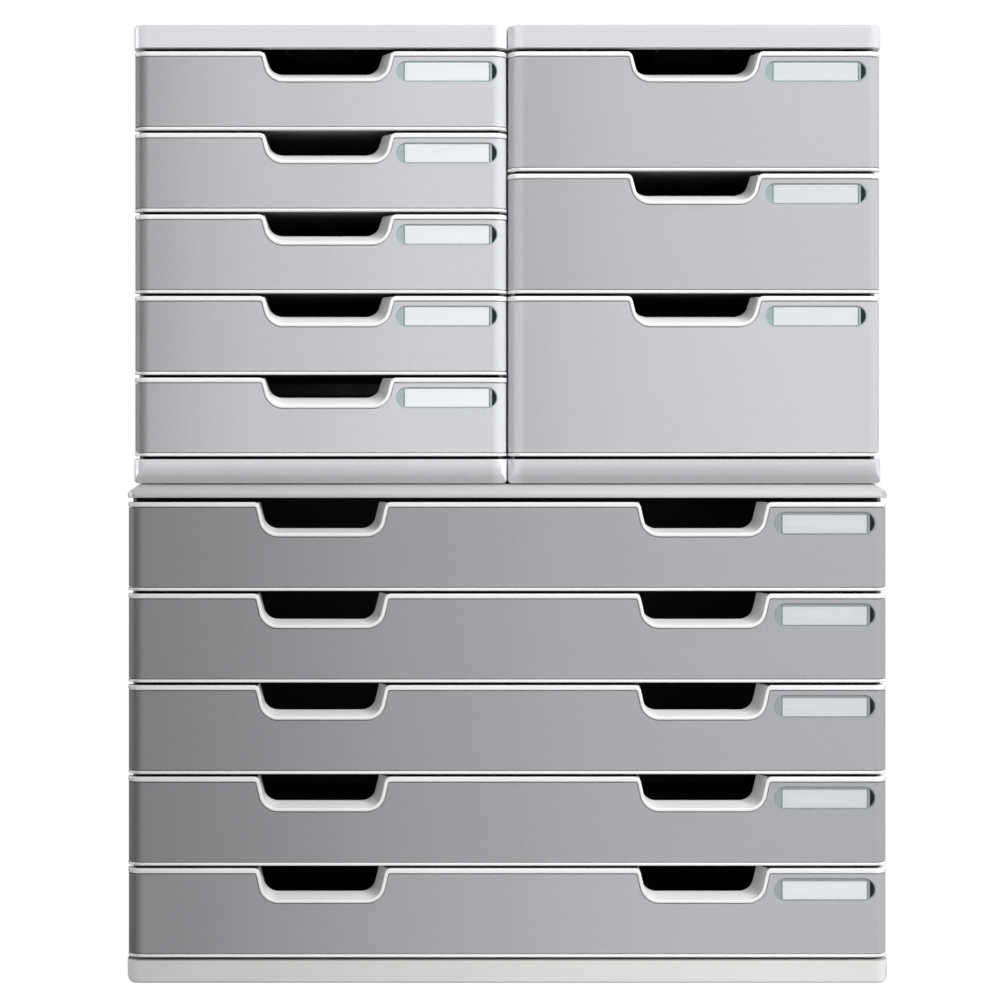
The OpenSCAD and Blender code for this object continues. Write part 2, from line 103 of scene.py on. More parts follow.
# Painted light on the cards in a unit's lowest drawer, and in its other drawers
CARD_DRAWER_PAINTED_LIGHT = {"left_unit": (1.05, 1), "right_unit": (0.92, 0.85), "chest": (0.94, 0.78)}
# How far from a unit's end the bend's painted light and shade ends, and the tone of the front
# begins
TURN = (0.0055, 0.0125)
# Dust makes the cases' upward faces matt and paints them darker, as painted shade; on the
# chest's cover the upward faces are made matt and painted lighter, as painted light
DUST_AND_PAINTED_SHADE, CHEST_COVER_PAINTED_LIGHT = 0.3, -0.15
# Roughness of paper card, and of plastic that lies flat and gathers dust
MATT = 0.85
# Each lamp's place, what it points at, its width in metres and its power in watts
LAMPS = {
    "key": ((4.56, -5.6, 5.9), (0.0, -0.17, 0.35), 3.8, 825),
    "top": ((0.2, -1.0, 2.6), (0, -0.1, 0.4), 1.6, 9),
    "left": ((-3.0, 0.1, 0.7), (-0.28, -0.1, 0.4), 1.5, 50),
}
# Strength of the floor's glow to the camera, its share there, and the light from all around
FLOOR_GLOW, FLOOR_SHARE, AMBIENT = 1.05, 0.93, 0.17


def linear(hex_colour):
    """An sRGB hex colour as the linear red, green, blue and alpha that Blender works in."""
    channels = [int(hex_colour[k : k + 2], 16) / 255 for k in (0, 2, 4)]
    return tuple(
        c / 12.92 if c <= 0.04045 else ((c + 0.055) / 1.055) ** 2.4 for c in channels
    ) + (1.0,)


def length(name, description, default):
    return FloatProperty(
        name=name, description=description, default=default, min=0.0, unit="LENGTH", precision=5
    )


def lengths(name, description, *default):
    """One length for each unit, or for each part of a shaped edge."""
    return FloatVectorProperty(
        name=name, description=description, default=default, size=len(default),
        min=0.0, unit="LENGTH", precision=5,
    )


def colour(name, description, default):
    return FloatVectorProperty(
        name=name, description=description, default=linear(default), size=4,
        min=0.0, max=1.0, subtype="COLOR",
    )


class FrontSizes(PropertyGroup):
    """Sizes of the white front frame and of the grey fascia in it."""

    corner: length("Corner radius", "Bend at each end of a front, seen from above", 0.0105)
    reach: length("Return", "How far a front returns backwards along its sides", 0.012)
    thickness: length("Frame thickness", "Thickness of the white frame", 0.0046)
    pocket: length("Pocket depth", "Depth of the pocket that holds the fascia", 0.0022)
    proud: length("Bead height", "How far the bead stands proud of the fascia", 0.0004)
    top_strip: length("Top strip", "Height of the white strip above the fascia", 0.0035)
    bottom_strip: length("Bottom strip", "Height of the white strip below the fascia", 0.0022)
    bead: length("Bead width", "Width of the bead round a finger notch", 0.0026)
    groove: length("Groove", "Gap between the frame and the fascia", 0.0006)
    film: length("Film", "Adhesive film behind fascia and label", 0.00005)
    frame_rounding: length("Frame rounding", "Rounding of the frame's edges", 0.0008)
    fascia_rounding: length("Fascia rounding", "Rounding of the fascia's edges", 0.0002)


class NotchSizes(PropertyGroup):
    """Sizes of the finger notches and their lips."""

    half_width: length("Half width", "Half width of a notch at the top of the front", 0.047)
    slant: length("Slant", "How much nearer the middle each side is at the bottom", 0.0052)
    depth: lengths("Depth", "Depth of a notch, in each unit", 0.0199, 0.0199, 0.0228)
    shift: lengths("Shift", "How far a notch sits right of the middle", 0.0056, 0.0, 0.0038)
    corner: length("Bottom corner", "Radius of a notch's bottom corners", 0.011)
    top_corner: length("Top corner", "Radius where a notch meets the top of the front", 0.0044)
    lip_reach: length("Lip reach", "How far the lip reaches back from the front", 0.017)
    lip_thickness: length("Lip thickness", "Wall of the lip", 0.0018)
    lip_rounding: length("Lip rounding", "Rounding of the lip's edges", 0.0005)
    draft_left: length("Draft, left", "How much the lip draws in at its left", 0.0002)
    draft_right: lengths("Draft, right", "How much it draws in at its right", 0.007, 0.0038, 0.0053)
    draft_up: lengths("Draft, bottom", "How much it rises to the inside", 0.0055, 0.0055, 0.003)


class LabelSizes(PropertyGroup):
    """Sizes of the label: its window, card and holder."""

    width: length("Window width", "Length of the label window", 0.07465)
    height: lengths("Window height", "Height of the label window", 0.0154, 0.0154, 0.0168)
    end: lengths("From the right", "Window's distance from the right end", 0.0072, 0.0116, 0.0098)
    top: length("From the top", "Distance of the window from the top of the front", 0.0071)
    card_end: length("Bare end", "Bare part of the window at each end of the card", 0.0063)
    card_edge: length("Bare edge", "Bare edge of the window below its card", 0.0011)
    play: length("Play", "Play round the window in the fascia", 0.00015)
    sunk: length("Set-back", "How far the window lies behind the fascia's face", 0.0003)
    window_rounding: length("Window rounding", "Rounding of the window's edges", 0.0002)
    slot: length("Slot width", "Width of the slot where a finger pushes the card out", 0.0033)
    slot_edge: length("Slot edge", "Edge of the window round the slot", 0.0007)
    card_corner: length("Card corner", "Radius of the card's corners", 0.0005)
    card_rounding: length("Card rounding", "Rounding of the card's edges", 0.00006)
    holder_rounding: length("Holder rounding", "Rounding of the holder's edges", 0.00012)
    ribs: lengths("Holder's ribs", "Their width, height and margin", 0.0006, 0.0003, 0.0012)


class CaseSizes(PropertyGroup):
    """Sizes of the covers, the bases and the trays."""

    corner: length("Upright corner", "Radius of the upright corners of covers and bases", 0.010)
    upper_cover: length("Cover edge, upper units", "Rounding of the upper covers' top edge", 0.0018)
    chest_cover: lengths("Cover edge, chest", SHAPED_EDGE, 0.0034, 0.0094, 0.006)
    upper_base: length("Base sides, upper units", "Rounding under their sides", 0.0036)
    upper_base_front: lengths("Base front, upper units", SHAPED_EDGE, 0.009, 0.0076, 0.016)
    chest_base: length("Base sides, chest", "Rounding under its sides", 0.0065)
    chest_base_front: length("Base front, chest", "Rounding under its front", 0.002)
    skin: length("Skin", "Thickness of the skin of covers and bases", 0.0026)
    rib: length("Rib", "Thickness of the stiffening ribs", 0.002)
    cell: length("Cell", "Widest cell between the ribs", 0.058)
    rim: length("Rim", "Least width of the rim that the ribs leave free", 0.0079)
    edge_softness: length("Edge softness", "Rounding left by the mould on sharp edges", 0.0004)
    tray_wall: length("Tray wall", "Thickness of the tray's walls and floor", 0.002)
    tray_gap: length("Tray to case", "Gap between the tray's wall and the case", 0.0063)
    tray_rounding: length("Tray rounding", "Rounding of the tray's edges", 0.0005)
    play: length("Running gap", "Gap between a drawer and what it runs on", 0.0003)
    flange_gap: length("Front to flange", "Gap between a front's return and a flange", 0.001)
    flange: length("Flange", "Thickness of the flanges that the tray slides on", 0.002)
    lug: length("Lug length", "Length of the stop lugs at the back of the flanges", 0.005)
    lug_height: length("Lug height", "Height of the stop lugs above the rim", 0.0024)
    rim_drop: length("Rim drop", "How far the tray's rim lies below the front's top", 0.007)
    tray_lift: length("Tray lift", "Height of its underside above the front's bottom", 0.0012)


class Finishes(PropertyGroup):
    """Colours of the mouldings, the fascias and the label."""

    upper_case: colour("Case, upper units", "Covers, bases and panels", "D7D8DB")
    chest_case: colour("Case, chest", "Cover, base and panels", "E3E3E1")
    white: colour("Front frame", "White frame of each drawer front", "F4F4F4")
    upper_fascia: colour("Fascia, upper units", "Grained grey film", "CDCED1")
    chest_fascia: colour("Fascia, chest", "Grained grey film", "ABACAF")
    tray: colour("Tray", "Drawer trays", "8C8D90")
    left_unit_holder: colour("Label holder, left unit", "Tinted base under the card", "8CA6A4")
    right_unit_holder: colour("Label holder, right unit", "Tinted base under the card", "80A2A2")
    chest_holder: colour("Label holder, chest", "Tinted base under the card", "667C7A")
    window: colour("Label window", "Clear window over the card", "F2F6F8")
    # Near-black painted shade for the slot's floor and the holder's ribs
    slot: colour("Card slot", "Shaded slot at the right end of the label", "0B1112")
    card: colour("Card", "Blank paper card", "F1F4F6")
    rubber: colour("Feet", "Rubber feet and stacking pegs", "4A4A4C")
    # Near-black painted shade for the ribbed underside of the covers, where the case is dark inside
    inside: colour("Inside", "Ribbed underside of the covers", "1C1C1E")


class StageSizes(PropertyGroup):
    """The camera, the floor, and how finely corners are rounded."""

    camera: FloatVectorProperty(
        name="Camera", description="Place of the camera", default=(-0.060, -1.6696, 0.4082),
        size=3, subtype="TRANSLATION", unit="LENGTH",
    )
    lens: FloatProperty(name="Lens", description="Focal length in millimetres", default=73.0)
    shift_x: FloatProperty(name="Shift, sideways", description="Sideways shift", default=0.0737)
    shift_y: FloatProperty(name="Shift, upwards", description="Upward shift", default=-0.07)
    floor: length("Floor", "Width of the studio floor", 14.0)
    steps: IntProperty(name="Arc steps", description="Facets in a rounded corner", default=9, min=3)


def leave_edit():
    bpy.ops.object.mode_set(mode="OBJECT")


def deselect():
    bpy.ops.object.select_all(action="DESELECT")


def activate(obj):
    """Leaves edit mode and makes one object the only selected and the active one."""
    if bpy.context.object and bpy.context.object.mode != "OBJECT":
        leave_edit()
    deselect()
    obj.select_set(True)
    bpy.context.view_layer.objects.active = obj


def apply_place(obj):
    """Puts an object's place into its mesh, so that the object sits at the origin."""
    activate(obj)
    bpy.ops.object.transform_apply(location=True, rotation=True, scale=True)


def block(name, low, high):
    """A blank to cut a piece from, between two corners."""
    low, high = Vector(low), Vector(high)
    deselect()
    bpy.ops.mesh.primitive_cube_add(size=1, location=(low + high) / 2, scale=high - low)
    made = bpy.context.object
    made.name = name
    apply_place(made)
    return made


def pick(obj, kind, test):
    """In edit mode, selects the faces or edges whose middle and direction pass a test."""
    activate(obj)
    bpy.ops.object.mode_set(mode="EDIT")
    bpy.ops.mesh.select_mode(type=kind)
    bpy.ops.mesh.select_all(action="DESELECT")
    leave_edit()
    mesh = obj.data
    if kind == "FACE":
        for face in mesh.polygons:
            face.select = bool(test(face.center, face.normal))
    else:
        for edge in mesh.edges:
            a, b = (mesh.vertices[k].co for k in edge.vertices)
            edge.select = bool(test((a + b) / 2, (b - a).normalized()))
    bpy.ops.object.mode_set(mode="EDIT")


def bevel_edges(obj, test, offset, segments):
    pick(obj, "EDGE", test)
    bpy.ops.mesh.bevel(offset_type="OFFSET", offset=offset, segments=segments, affect="EDGES")
    leave_edit()


def drop_faces(obj, test):
    pick(obj, "FACE", test)
    bpy.ops.mesh.delete(type="FACE")
    leave_edit()


def modify(obj, kind, **settings):
    """Adds a modifier and applies it."""
    activate(obj)
    bpy.ops.object.modifier_add(type=kind)
    modifier = obj.modifiers[-1]
    for name, value in settings.items():
        setattr(modifier, name, value)
    bpy.ops.object.modifier_apply(modifier=modifier.name)


def combine(obj, other, operation="DIFFERENCE"):
    """Cuts another solid out of this one, or adds it, and removes the other."""
    modify(obj, "BOOLEAN", object=other, operation=operation, solver="EXACT")
    bpy.data.objects.remove(other)


def join(obj, others):
    activate(obj)
    for other in others:
        other.select_set(True)
    bpy.ops.object.join()


def merge_flats(obj):
    """Removes the slivers that joining and cutting leave, so that edges can be rounded cleanly."""
    pick(obj, "FACE", lambda middle, normal: True)
    bpy.ops.mesh.remove_doubles(threshold=MERGED)
    bpy.ops.mesh.dissolve_degenerate(threshold=MERGED)
    bpy.ops.mesh.dissolve_limited(angle_limit=math.radians(0.5))
    leave_edit()


def soften(obj, width, segments=3, angle=38):
    """Rounds every sharp edge a little, as a mould does, and shades the faces smooth."""
    modify(
        obj, "BEVEL", width=width, segments=segments, limit_method="ANGLE",
        angle_limit=math.radians(angle), use_clamp_overlap=False,
    )
    activate(obj)
    bpy.ops.object.shade_smooth_by_angle(angle=math.radians(40))
    modify(obj, "WEIGHTED_NORMAL", keep_sharp=True, weight=50)


def copy_piece(model, shift):
    """Another piece with its own mesh, moved along by a distance."""
    activate(model)
    bpy.ops.object.duplicate(linked=False)
    made = bpy.context.object
    bpy.ops.transform.translate(value=shift)
    apply_place(made)
    return made


def carry(piece, name, body, slot, material, node):
    """Names a finished piece, gives it its finish and lets it ride on its body."""
    piece.name = name
    piece.data.name = name
    dress(piece, material)
    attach(piece, body)
    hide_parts(node)


class Drawer:
    """Where one drawer sits in the CAD frame, and the notches and label of its unit."""

    def __init__(self, unit, number):
        sizes, label = bpy.context.scene.notch_sizes, bpy.context.scene.label_sizes
        k = list(DRAWERS).index(unit)
        self.unit, self.name = unit, f"{unit}_drawer_{number}"
        self.lowest = number == DRAWERS[unit]
        self.low, self.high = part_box(self.name + "_front")
        self.kind = unit, round(self.high.z - self.low.z, 4)
        self.notch_depth = sizes.depth[k]
        self.draft_right, self.draft_up = sizes.draft_right[k], sizes.draft_up[k]
        self.label_height, self.label_end = label.height[k], self.high.x - label.end[k]
        shift = sizes.shift[k]
        if unit == "chest":
            low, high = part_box("chest_cover")
            quarter = (high.x - low.x) / 4
            self.notches = [shift - quarter, shift + quarter]
        else:
            self.notches = [(self.low.x + self.high.x) / 2 + shift]


def each_drawer(build, slot, material, replaced, tall=True):
    """Builds a piece for the first drawer of each kind and copies it to the others.

    The pieces are named for the function that builds them. A piece that isn't as tall as its
    drawer is the same in all the drawers of a unit.
    """
    models = {}
    for unit, count in DRAWERS.items():
        for number in range(1, count + 1):
            drawer = Drawer(unit, number)
            kind = drawer.kind if tall else drawer.unit
            if kind in models:
                first, model = models[kind]
                piece = copy_piece(model, (0, 0, drawer.high.z - first.high.z))
            else:
                piece = build(drawer)
                models[kind] = drawer, piece
            chosen = material(drawer) if callable(material) else material
            carry(
                piece, f"{drawer.name}.{build.__name__}", drawer.name,
                slot(drawer) if callable(slot) else slot, chosen, f"{drawer.name}_{replaced}",
            )


def notch_angle(drawer):
    """Slope of a notch's sides away from upright."""
    return math.atan(bpy.context.scene.notch_sizes.slant / drawer.notch_depth)


def notch_half(drawer, depth, grow):
    """Half width of a notch at a depth below the top of the front."""
    slope = math.tan(notch_angle(drawer))
    return bpy.context.scene.notch_sizes.half_width - slope * depth + grow * math.hypot(1, slope)


def notch_plug(drawer, x, grow, above, front, back):
    """A solid that fills one notch: its sides lean in and its bottom corners are round."""
    sizes = bpy.context.scene.notch_sizes
    bottom = drawer.notch_depth + grow
    wide, narrow = notch_half(drawer, -above, grow), notch_half(drawer, bottom, grow)
    top = drawer.high.z
    plug = block("notch plug", (x - wide, front, top - bottom), (x + wide, back, top + above))
    pick(plug, "FACE", lambda middle, normal: normal.z < -ALONG)
    bpy.ops.transform.resize(
        value=(narrow / wide, 1, 1), center_override=(x, front, top - bottom)
    )
    leave_edit()
    corner = math.pi / 2 + notch_angle(drawer)
    bevel_edges(
        plug,
        lambda middle, along: abs(along.y) > ALONG and abs(middle.z - top + bottom) < SLIVER,
        (sizes.corner + grow) / math.tan(corner / 2),
        bpy.context.scene.stage_sizes.steps,
    )
    return plug


def bent_plate(name, drawer, outer, inner, top, bottom, reach, grow):
    """A plate bent round both ends of a front, with its notches cut out.

    outer and inner are the depths of its two faces behind the front's own face; grow widens the
    notches.
    """
    sizes, notch = bpy.context.scene.front_sizes, bpy.context.scene.notch_sizes
    steps = bpy.context.scene.stage_sizes.steps
    face = drawer.low.y
    plate = block(
        name,
        (drawer.low.x + outer, face + outer, bottom),
        (drawer.high.x - outer, face + reach, top),
    )
    bevel_edges(
        plate,
        lambda middle, along: abs(along.z) > ALONG and abs(middle.y - face - outer) < SLIVER,
        sizes.corner - outer,
        steps + 2,
    )
    drop_faces(plate, lambda middle, normal: abs(normal.z) > ALONG or normal.y > ALONG)
    modify(plate, "SOLIDIFY", thickness=inner - outer, offset=-1, use_even_offset=True)
    for x in drawer.notches:
        combine(plate, notch_plug(drawer, x, grow, 2 * PAST, face - PAST, face + 3 * PAST))
    half = notch_half(drawer, drawer.high.z - top, grow)
    corner = math.pi / 2 + notch_angle(drawer)
    bevel_edges(
        plate,
        lambda middle, along: abs(along.y) > ALONG
        and abs(middle.z - top) < SLIVER
        and any(abs(abs(middle.x - x) - half) < 10 * SLIVER for x in drawer.notches),
        (notch.top_corner - grow) / math.tan(corner / 2),
        steps,
    )
    return plate


def notch_lip(drawer, x):
    """The wall round one notch, which draws in towards the back so that it leaves the mould."""
    sizes, front = bpy.context.scene.notch_sizes, bpy.context.scene.front_sizes
    start, end = drawer.low.y + front.thickness, drawer.low.y + sizes.lip_reach
    lip = notch_plug(drawer, x, 0.0, 0.0, start, end)
    narrow = 1 - (sizes.draft_left + drawer.draft_right) / (2 * sizes.half_width)
    still = sizes.draft_left / (1 - narrow) - sizes.half_width
    pick(lip, "FACE", lambda middle, normal: normal.y > ALONG)
    bpy.ops.transform.resize(
        value=(narrow, 1, 1 - drawer.draft_up / drawer.notch_depth),
        center_override=(x + still, end, drawer.high.z),
    )
    leave_edit()
    drop_faces(lip, lambda middle, normal: abs(normal.y) > ALONG or normal.z > ALONG)
    modify(lip, "SOLIDIFY", thickness=sizes.lip_thickness, offset=1, use_even_offset=True)
    soften(lip, sizes.lip_rounding, segments=2, angle=60)
    return lip


def front_frame(drawer):
    """White frame of one front: a bent plate with a pocket for the fascia, and its lips."""
    sizes = bpy.context.scene.front_sizes
    top, bottom = drawer.high.z, drawer.low.z
    plate = bent_plate("frame", drawer, 0.0, sizes.thickness, top, bottom, sizes.reach, 0.0)
    pocket = bent_plate(
        "pocket", drawer, -OPENED, sizes.pocket, top - sizes.top_strip,
        bottom + sizes.bottom_strip, sizes.reach + OPENED, sizes.bead,
    )
    combine(plate, pocket)
    soften(plate, sizes.frame_rounding, segments=4)
    join(plate, [notch_lip(drawer, x) for x in drawer.notches])
    return plate


def label_corners(drawer, shrink, front, back):
    """Lowest and highest corner of the label window, drawn in by a margin, between two depths."""
    sizes = bpy.context.scene.label_sizes
    right, top = drawer.label_end, drawer.high.z - sizes.top
    left, bottom = right - sizes.width, top - drawer.label_height
    return (
        Vector((left + shrink, drawer.low.y + front, bottom + shrink)),
        Vector((right - shrink, drawer.low.y + back, top - shrink)),
    )


def stadium(name, low, high):
    """A plate with half-round ends."""
    made = block(name, low, high)
    # A hair under half the height, so that the two roundings of an end don't meet.
    radius = (high.z - low.z) * 0.4999
    bevel_edges(made, lambda middle, along: abs(along.y) > ALONG, radius, CORNER_STEPS)
    return made


def fascia(drawer):
    """Grained grey skin in the frame's pocket, with a hole for the label window."""
    sizes = bpy.context.scene.front_sizes
    edge = sizes.groove
    skin = bent_plate(
        "fascia", drawer, sizes.proud, sizes.pocket - sizes.film,
        drawer.high.z - sizes.top_strip - edge, drawer.low.z + sizes.bottom_strip + edge,
        sizes.reach - edge, sizes.bead + edge,
    )
    combine(skin, stadium("label hole", *label_corners(drawer, 0.0, -PAST, 2 * PAST)))
    merge_flats(skin)
    soften(skin, sizes.fascia_rounding, segments=2)
    return skin


def label_holder(drawer):
    """Tinted base of the label, with a rib at each end of the card."""
    sizes, front = bpy.context.scene.label_sizes, bpy.context.scene.front_sizes
    low, high = label_corners(drawer, sizes.play, HOLDER_FRONT, front.pocket - front.film)
    holder = stadium("holder", low, high)
    width, height, margin = sizes.ribs
    for x in (low.x + sizes.card_end - width, high.x - sizes.card_end + width):
        combine(holder, block(
            "rib", (x - width / 2, low.y - height, low.z + margin),
            (x + width / 2, low.y + height, high.z - margin),
        ), "UNION")
    soften(holder, sizes.holder_rounding, segments=2)
    # The front and the ribs get the holder's second finish, a near-black painted shade.
    for face in holder.data.polygons:
        face.material_index = int(face.center.y < low.y - SLIVER)
    return holder


def label_card(drawer):
    """Blank paper card with slightly rounded corners, as tall as the lowest window lets it be."""
    sizes = bpy.context.scene.label_sizes
    low, high = label_corners(drawer, 0.0, CARD_FRONT, CARD_BACK)
    height = min(sizes.height) - 2 * sizes.card_edge
    start = low + Vector((sizes.card_end, 0, sizes.card_edge))
    card = block("card", start, Vector((high.x - sizes.card_end, high.y, start.z + height)))
    bevel_edges(card, lambda middle, along: abs(along.y) > ALONG, sizes.card_corner, 3)
    soften(card, sizes.card_rounding, segments=2)
    return card


def slot_plug(drawer, front, back):
    """A solid in the round end at the right of the label, where a finger pushes the card out."""
    sizes = bpy.context.scene.label_sizes
    low, high = label_corners(drawer, sizes.slot_edge, front, back)
    plug = stadium("slot", low, high)
    past = Vector((PAST, PAST, PAST))
    combine(plug, block("card side", low - past, high + Vector((-sizes.slot, PAST, PAST))))
    return plug


def card_slot(drawer):
    """Floor of the slot in the label window, a near-black painted shade."""
    return slot_plug(drawer, SLOT_FLOOR, CARD_BACK)


def label_window(drawer):
    """Clear window over the card, a little behind the fascia's face, with its slot cut out."""
    sizes, front = bpy.context.scene.label_sizes, bpy.context.scene.front_sizes
    corners = label_corners(drawer, sizes.play, front.proud + sizes.sunk, WINDOW_BACK)
    pane = stadium("window", *corners)
    combine(pane, slot_plug(drawer, -PAST, PAST))
    merge_flats(pane)
    soften(pane, sizes.window_rounding, segments=2)
    # The front and the back are polished flat.
    for face in pane.data.polygons:
        face.use_smooth = abs(face.normal.y) < 0.99
    return pane


def tray(drawer):
    """Open tray with flanges that slide on the runners, and a stop lug at the back of each."""
    sizes, notch = bpy.context.scene.case_sizes, bpy.context.scene.notch_sizes
    low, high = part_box(drawer.name + "_tray")
    rim, floor = drawer.high.z - sizes.rim_drop, drawer.low.z + sizes.tray_lift
    wall, side = sizes.tray_wall, sizes.tray_gap - sizes.play
    made = block("tray", (low.x + side, low.y, floor), (high.x - side, high.y, rim))
    pick(made, "FACE", lambda middle, normal: normal.z > ALONG)
    bpy.ops.mesh.inset(thickness=wall)
    bpy.ops.mesh.extrude_region_move(
        TRANSFORM_OT_translate={"value": (0, 0, floor + wall - rim)}
    )
    leave_edit()
    start = drawer.low.y + bpy.context.scene.front_sizes.reach + sizes.flange_gap
    for outward, edge in ((-1, low.x), (1, high.x)):
        face = edge - outward * side
        middle = face - outward * wall / 2
        combine(made, block(
            "flange", (min(middle, edge), start, rim - sizes.flange),
            (max(middle, edge), high.y, rim),
        ), "UNION")
        combine(made, block(
            "lug", (min(face, edge), high.y - sizes.lug, rim - sizes.flange / 2),
            (max(face, edge), high.y, rim + sizes.lug_height),
        ), "UNION")
    grow = notch.lip_thickness + sizes.play
    for x in drawer.notches:
        combine(made, notch_plug(drawer, x, grow, PAST, low.y - PAST, low.y + wall + OPENED))
    merge_flats(made)
    soften(made, sizes.tray_rounding, segments=2)
    return made


def trimmer(low, high, axis, edge, outward):
    """A bar along an axis, to trim a slab with: its two long edges are shaped.

    edge is one rounding, or the height of an upright part, how far the face slants in past it,
    and the rounding between the two.
    """
    past = Vector()
    past[axis] = PAST
    past.z = PAST if outward < 0 else 0.0
    below = Vector((past.x, past.y, PAST - past.z))
    bar = block("trimmer", low - below, high + past)
    near, far = (low.z, high.z) if outward > 0 else (high.z, low.z)
    if len(edge) == 1:
        bend, offset = far, edge[0]
    else:
        upright, slant, knee = edge
        bend = near + outward * upright
        offset = knee * math.tan(math.atan(slant / (high.z - low.z - upright)) / 2)
        pick(bar, "FACE", lambda middle, normal: True)
        bpy.ops.mesh.bisect(plane_co=(0, 0, bend), plane_no=(0, 0, 1))
        leave_edit()
        shrink = [1, 1, 1]
        shrink[1 - axis] = 1 - 2 * slant / (high - low)[1 - axis]
        pick(bar, "FACE", lambda middle, normal: normal.z * outward > ALONG)
        bpy.ops.transform.resize(value=shrink, center_override=(low + high) / 2)
        leave_edit()
    bevel_edges(
        bar, lambda middle, along: abs(along[axis]) > ALONG and abs(middle.z - bend) < SLIVER,
        offset, EDGE_STEPS,
    )
    return bar


def moulding(name, sides, front, covers):
    """A cover or a base: a slab with round corners and shaped long edges, ribbed underneath.

    A cover is shaped along the edges of its top, a base along those of its underside.
    """
    sizes = bpy.context.scene.case_sizes
    low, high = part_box(name)
    outward = 1 if covers else -1
    least = min(sides[0], front[0]) if len(sides) == len(front) == 1 else 0.0
    shrink = Vector((0, 0, least))
    slab = block(name, low, high - shrink) if covers else block(name, low + shrink, high)
    bevel_edges(slab, lambda middle, along: abs(along.z) > ALONG, sizes.corner, CORNER_STEPS)
    if least:
        pick(slab, "FACE", lambda middle, normal: normal.z * outward > ALONG)
        steps = bpy.context.scene.stage_sizes.steps
        turns = [math.pi / 2 * k / steps for k in range(steps + 1)]
        for before, after in zip(turns, turns[1:]):
            bpy.ops.mesh.inset(
                thickness=least * (math.cos(before) - math.cos(after)),
                depth=least * (math.sin(after) - math.sin(before)),
            )
        leave_edit()
    for axis, edge in ((0, front), (1, sides)):
        if edge != (least,):
            combine(slab, trimmer(low, high, axis, edge, outward), "INTERSECT")

    widest = max(edge[len(edge) // 2] for edge in (sides, front))
    rim = max(sizes.rim, widest + sizes.skin)
    start, end = low.xy + Vector((rim, rim)), high.xy - Vector((rim, rim))

    def underside(middle, normal):
        return normal.z < -ALONG and abs(middle.z - low.z) < SLIVER

    def between(place):
        return start.x < place.x < end.x and start.y < place.y < end.y

    def inside(middle, normal):
        return underside(middle, normal) and between(middle)

    for axis in (0, 1):
        span = end[axis] - start[axis]
        count = math.ceil(span / sizes.cell)
        for k in range(count + 1):
            pick(slab, "FACE", underside if k in (0, count) else inside)
            place, normal = Vector((0, 0, low.z)), Vector()
            place[axis] = start[axis] + span * k / count
            normal[axis] = 1
            bpy.ops.mesh.bisect(plane_co=place, plane_no=normal)
            leave_edit()
    pick(slab, "FACE", inside)
    bpy.ops.mesh.inset(thickness=sizes.rib / 2, use_individual=True)
    bpy.ops.mesh.extrude_region_move(
        TRANSFORM_OT_translate={"value": (0, 0, high.z - low.z - sizes.skin)}
    )
    leave_edit()
    soften(slab, sizes.edge_softness, segments=2, angle=50)
    # The ribbed underside of a cover gets the second finish, a near-black painted shade.
    ceiling = high.z - sizes.skin + SLIVER
    for face in slab.data.polygons:
        middle = face.center
        face.material_index = int(covers and between(middle) and middle.z < ceiling)
    return slab


def fill_inputs(tree, node, inputs):
    """Sets each input of a node to a value, or links it to a socket."""
    for name, value in inputs.items():
        if isinstance(value, NodeSocket):
            tree.links.new(value, node.inputs[name])
        else:
            node.inputs[name].default_value = value


def add_node(tree, kind, inputs=None, **settings):
    """Adds a shader node, fills or links its inputs, and sets its own settings."""
    made = tree.nodes.new("ShaderNode" + kind)
    for name, value in settings.items():
        setattr(made, name, value)
    fill_inputs(tree, made, inputs or {})
    return made


def blank_material(name, even):
    """A material with one Principled shader, and the values that are even all over it."""
    material = bpy.data.materials.new(name)
    material.use_nodes = True
    surface = material.node_tree.nodes["Principled BSDF"]
    fill_inputs(material.node_tree, surface, even)
    return material, material.node_tree, surface


def mottled(tree, place, width, detail, low, high, roughness=0.5):
    """Noise of a width in metres, and the same noise spread between two levels."""
    noise = add_node(tree, "TexNoise", {
        "Vector": place, "Scale": 1 / width, "Detail": detail, "Roughness": roughness,
    }).outputs["Fac"]
    # The noise lies between 0.3 and 0.7 nearly everywhere.
    level = add_node(tree, "MapRange", {
        "Value": noise, "From Min": 0.3, "From Max": 0.7, "To Min": low, "To Max": high,
    }).outputs["Result"]
    return noise, level


def graded(tree, place, unit, tones, bends):
    """Painted shade and light across a unit from its left to its right end, and where a front bends
    round them.
    """
    low, high = (corner.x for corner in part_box(f"{unit}_cover"))
    across = add_node(tree, "SeparateXYZ", {"Vector": place}).outputs["X"]
    along = add_node(tree, "MapRange", {"Value": across, "From Min": low, "From Max": high})
    ramp = add_node(tree, "ValToRGB", {"Fac": along.outputs["Result"]})
    stops = ramp.color_ramp.elements
    ramp.color_ramp.interpolation = "CARDINAL"
    stops.remove(stops[1])
    for position, tone in tones:
        stop = stops.new(position) if position else stops[0]
        stop.color = (tone, tone, tone, 1)
    level = ramp.outputs["Color"]
    for tone, end, inwards in ((bends[0], low, 1), (bends[1], high, -1)):
        turn = add_node(tree, "MapRange", {
            "Value": across, "To Min": tone,
            "From Min": end + inwards * TURN[0], "From Max": end + inwards * TURN[1],
        }).outputs["Result"]
        product = add_node(tree, "Math", {0: level, 1: turn}, operation="MULTIPLY")
        level = product.outputs["Value"]
    return level


